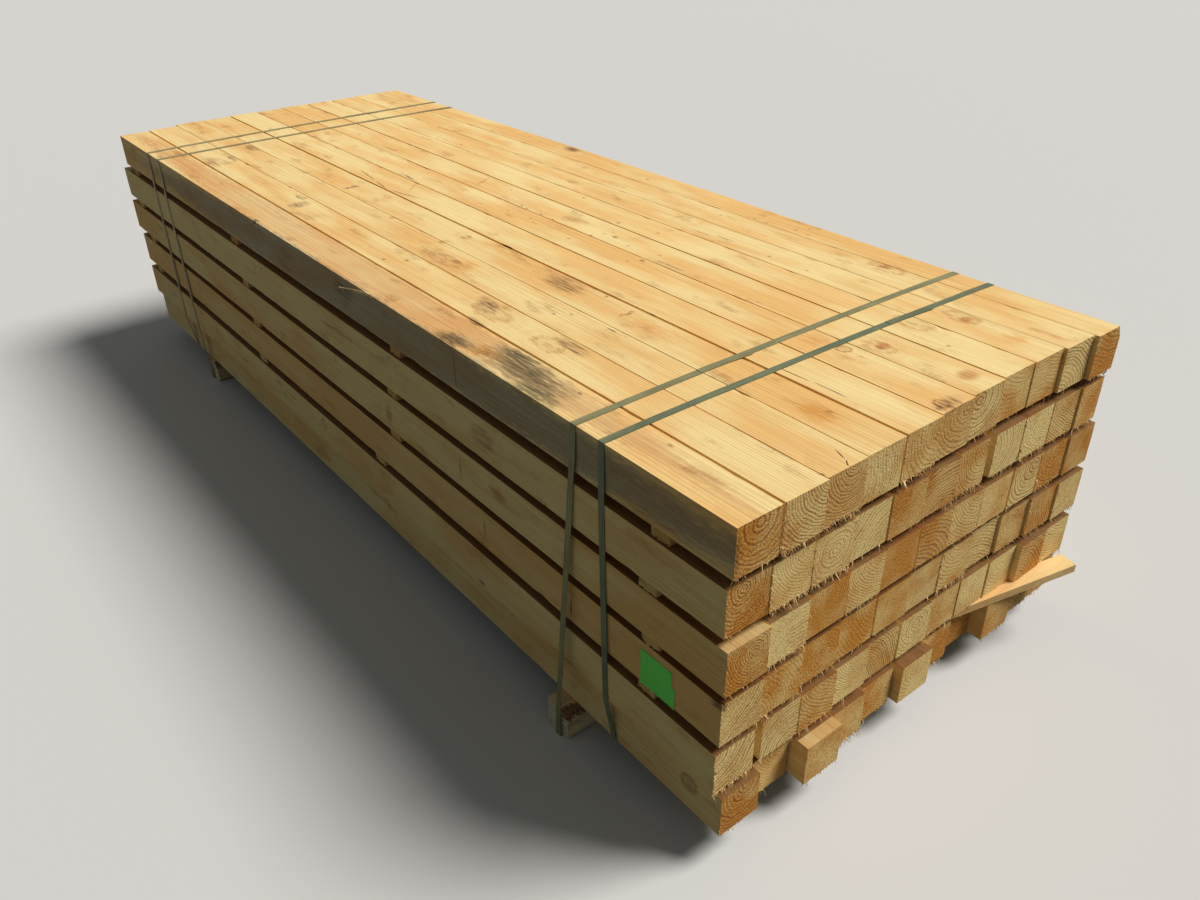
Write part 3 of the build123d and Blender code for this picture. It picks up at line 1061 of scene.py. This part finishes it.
for node, (bearer, crossings, bow, weld, finish) in strap_facts.items():
    points = []
    tied_nodes = [f"posts_layer_{layer}" for layer in range(1, 7)]
    tied_nodes += [bearer] if bearer else []
    for tied in tied_nodes:
        low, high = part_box(tied)
        bottom = low.z + (bearer_bite if tied == bearer else 0)
        points += [(low.y, bottom), (low.y, high.z), (high.y, bottom)]
        if tied == "posts_layer_1" and crossings[0] > 0:
            points += [(high.y - rounded_across, high.z), (high.y, high.z - rounded_down)]
        else:
            points.append((high.y, high.z))
    outline = taut_outline(points)
    left_y = outline[0][0]
    right_y = max(y for y, z in outline)
    top = max(z for y, z in outline)
    bottom = min(z for y, z in outline)
    edge_x = [at(x, 0, 0).x for x in crossings]

    def x_at(y, z):
        # On top the band bows a little towards the far end between its two edges.
        share = (top - z) / (top - bottom)
        left = edge_x[0] + (edge_x[2] - edge_x[0]) * share
        right = edge_x[1] + (edge_x[3] - edge_x[1]) * share
        across = min(max((y - left_y) / (right_y - left_y), 0), 1)
        bowed = bow / 1000 * math.sin(math.pi * across) ** 0.6 if share < 0.001 else 0
        return left + (right - left) * across + bowed

    corners = [Vector((x_at(y, z), y, z)) for y, z in outline]
    line = []
    for i, corner in enumerate(corners):
        following = corners[(i + 1) % len(corners)]
        before = (corner - corners[i - 1]).normalized()
        after = (following - corner).normalized()
        out_before = before.cross(Vector((1, 0, 0))).normalized()
        out_after = after.cross(Vector((1, 0, 0))).normalized()
        line.append((corner - before * strap_bend, out_before))
        line.append((corner, (out_before + out_after).normalized()))
        line.append((corner + after * strap_bend, out_after))
        for step in range(1, int((following - corner).length / strap_step)):
            spot = corner + after * (step * strap_step)
            sway = strap_sway * noise.noise(spot * 9)
            line.append((Vector((x_at(spot.y, spot.z) + sway, spot.y, spot.z)), out_after))
    body = bmesh.new()
    band_body(body, line, True)
    # The welded overlap, with the loose tail a little askew.
    weld_y = at(0, weld, 0).y
    tail = []
    for step in range(weld_steps + 1):
        share = step / weld_steps
        y = weld_y + (share - 0.5) * weld_length
        x = x_at(y, top) + tail_askew * share**2
        tail.append((Vector((x, y, top - 0.0001)), Vector((0, 0, 1))))
    band_body(body, tail, False, strap_thickness)
    bmesh.ops.recalc_face_normals(body, faces=body.faces)
    mesh = mesh_of(body, node, strap_finishes[finish])
    mesh.uv_layers[0].name = "band"
    new_piece(f"{node}_band", mesh, "strap_plastic", node)

# Sticker: a blank green paper label pressed on the side of one post. It has two fields, the
# upper one a little narrower, and its corners have begun to lift.
label_columns = 22
label_rows = 20
label_break = 0.56
label_narrowing = 0.008
label_set_in = 0.0003
label_ripple = 0.0003
corner_lift = 0.0012
low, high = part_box("sticker")
body = bmesh.new()
grid = []
for row in range(label_rows + 1):
    up = row / label_rows
    z = low.z + (high.z - low.z) * row / label_rows
    narrow = label_narrowing if row > label_break * label_rows else 0.0
    line = []
    for column in range(label_columns + 1):
        share = column / label_columns
        x = low.x + (high.x - low.x - narrow) * share
        corner = abs(share * 2 - 1) ** 6 * abs(up * 2 - 1) ** 6
        ripple = label_ripple * (0.5 + noise.noise(Vector((x * 60, 0, z * 60))))
        y = high.y - label_set_in - ripple - corner_lift * corner
        line.append(body.verts.new((x, y, z)))
    grid.append(line)
for lower, upper in zip(grid, grid[1:]):
    for i in range(label_columns):
        body.faces.new((lower[i], lower[i + 1], upper[i + 1], upper[i]))
label_paper, tree, shader = new_finish("label_paper", 0.5)
place = put(tree, "ShaderNodeTexCoord").outputs["Object"]
wear = ranged(tree, blotches(tree, place, 90.0, 4.0), 0.4, 0.75, 0.0, 0.5)
green = mixed(tree, wear, paint(98, 232, 84), paint(140, 236, 110))
coat(tree, shader, green, blotches(tree, place, 900.0, 2.0), 0.2, 0.0003)
new_piece("label", mesh_of(body, "label", label_paper), "sticker_paper", "sticker")

# Studio: a plain floor, one soft key light from above on the right, and a weak sky. The
# floor and the sky look pale to the camera, in mirrors and through glass, but light less.
floor_reach = 40
pale_wall = paint(214, 212, 208)


def in_sight(tree):
    seen = put(tree, "ShaderNodeLightPath").outputs
    shown = sums(tree, "MAXIMUM", seen["Is Camera Ray"], seen["Is Glossy Ray"])
    return sums(tree, "MAXIMUM", shown, seen["Is Transmission Ray"])


floor_mesh = bpy.data.meshes.new("floor")
floor_corners = [
    (floor_reach * x, floor_reach * y, 0) for x, y in ((-1, -1), (1, -1), (1, 1), (-1, 1))
]
floor_mesh.from_pydata(floor_corners, [], [(0, 1, 2, 3)])
floor = set_down("floor", floor_mesh)
floor_paint, tree, shader = new_finish("floor_paint", 0.9)
coat(tree, shader, mixed(tree, in_sight(tree), paint(82, 87, 80), pale_wall))
floor_mesh.materials.append(floor_paint)

key = bpy.data.lights.new("key", "SUN")
key.energy = 3.4
key.angle = math.radians(24)
key.color = (1.0, 0.985, 0.96)
lamp = set_down("key", key)
lamp_direction = Vector((0.36, 0.48, 0.80))
lamp.rotation_euler = lamp_direction.to_track_quat("Z", "Y").to_euler()

sky = bpy.data.worlds.new("studio")
sky.use_nodes = True
bpy.context.scene.world = sky
tree = sky.node_tree
air = tree.nodes["Background"]
air.inputs["Color"].default_value = (0.84, 0.94, 1.0, 1.0)
air.inputs["Strength"].default_value = 0.108
wall = put(tree, "ShaderNodeBackground", {"Color": pale_wall, "Strength": 1.0})
inputs = {0: in_sight(tree), 1: air.outputs[0], 2: wall.outputs[0]}
both = put(tree, "ShaderNodeMixShader", inputs)
tree.links.new(both.outputs[0], tree.nodes["World Output"].inputs["Surface"])

camera = bpy.data.cameras.new("camera")
camera.sensor_width = 36.0
camera.lens = 29.488
camera.clip_end = 200
view = set_down("camera", camera)
view.location = (2.2603, -1.3912, 1.5861)
view.rotation_euler = [math.radians(angle) for angle in (58.539, 0.736, 51.531)]
bpy.context.scene.camera = view
bpy.context.scene.view_settings.view_transform = "Standard"
